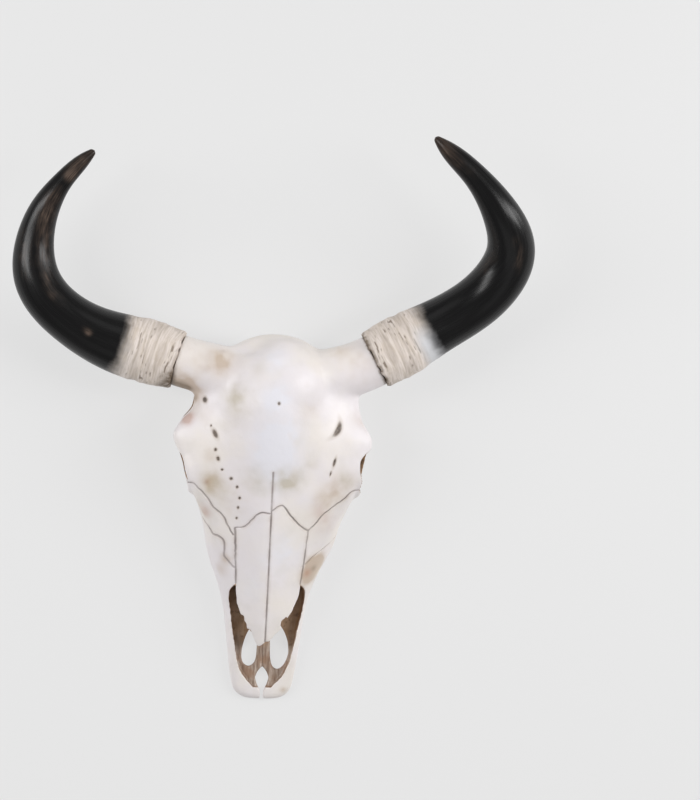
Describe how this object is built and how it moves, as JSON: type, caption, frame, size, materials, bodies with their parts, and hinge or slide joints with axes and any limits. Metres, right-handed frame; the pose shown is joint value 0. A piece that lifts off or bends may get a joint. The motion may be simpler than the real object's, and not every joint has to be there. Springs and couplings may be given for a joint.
{
  "type": "cow skull cast",
  "caption": "Life-size flat-backed cast of a cow skull, with brown nasal cavity, orbits and sutures, and two black upswept horns with cream bases.",
  "frame": {"origin": "on the flat back, on the midline, under the middle of the forehead, 350 mm from the tip of the muzzle", "axes": "+Y from the muzzle to the poll and the horn tips, +Z out of the face, +X to the right as one looks at the face"},
  "size_m": [0.6679, 0.7354, 0.1784],
  "materials": {
    "bone_cast": "cast resin painted as old bone: off-white, satin, with tan and brown washes in the hollows",
    "horn_cast": "cast resin painted glossy black with brown streaks, fading to a cream ringed base"
  },
  "bodies": {
    "root": {"cranium": "bone_cast", "nasal_bone_left": "bone_cast", "nasal_bone_right": "bone_cast", "lacrimal_left": "bone_cast", "lacrimal_right": "bone_cast", "upper_jaw_left": "bone_cast", "upper_jaw_right": "bone_cast", "horn_left": "horn_cast", "horn_right": "horn_cast"}
  },
  "joints": []
}
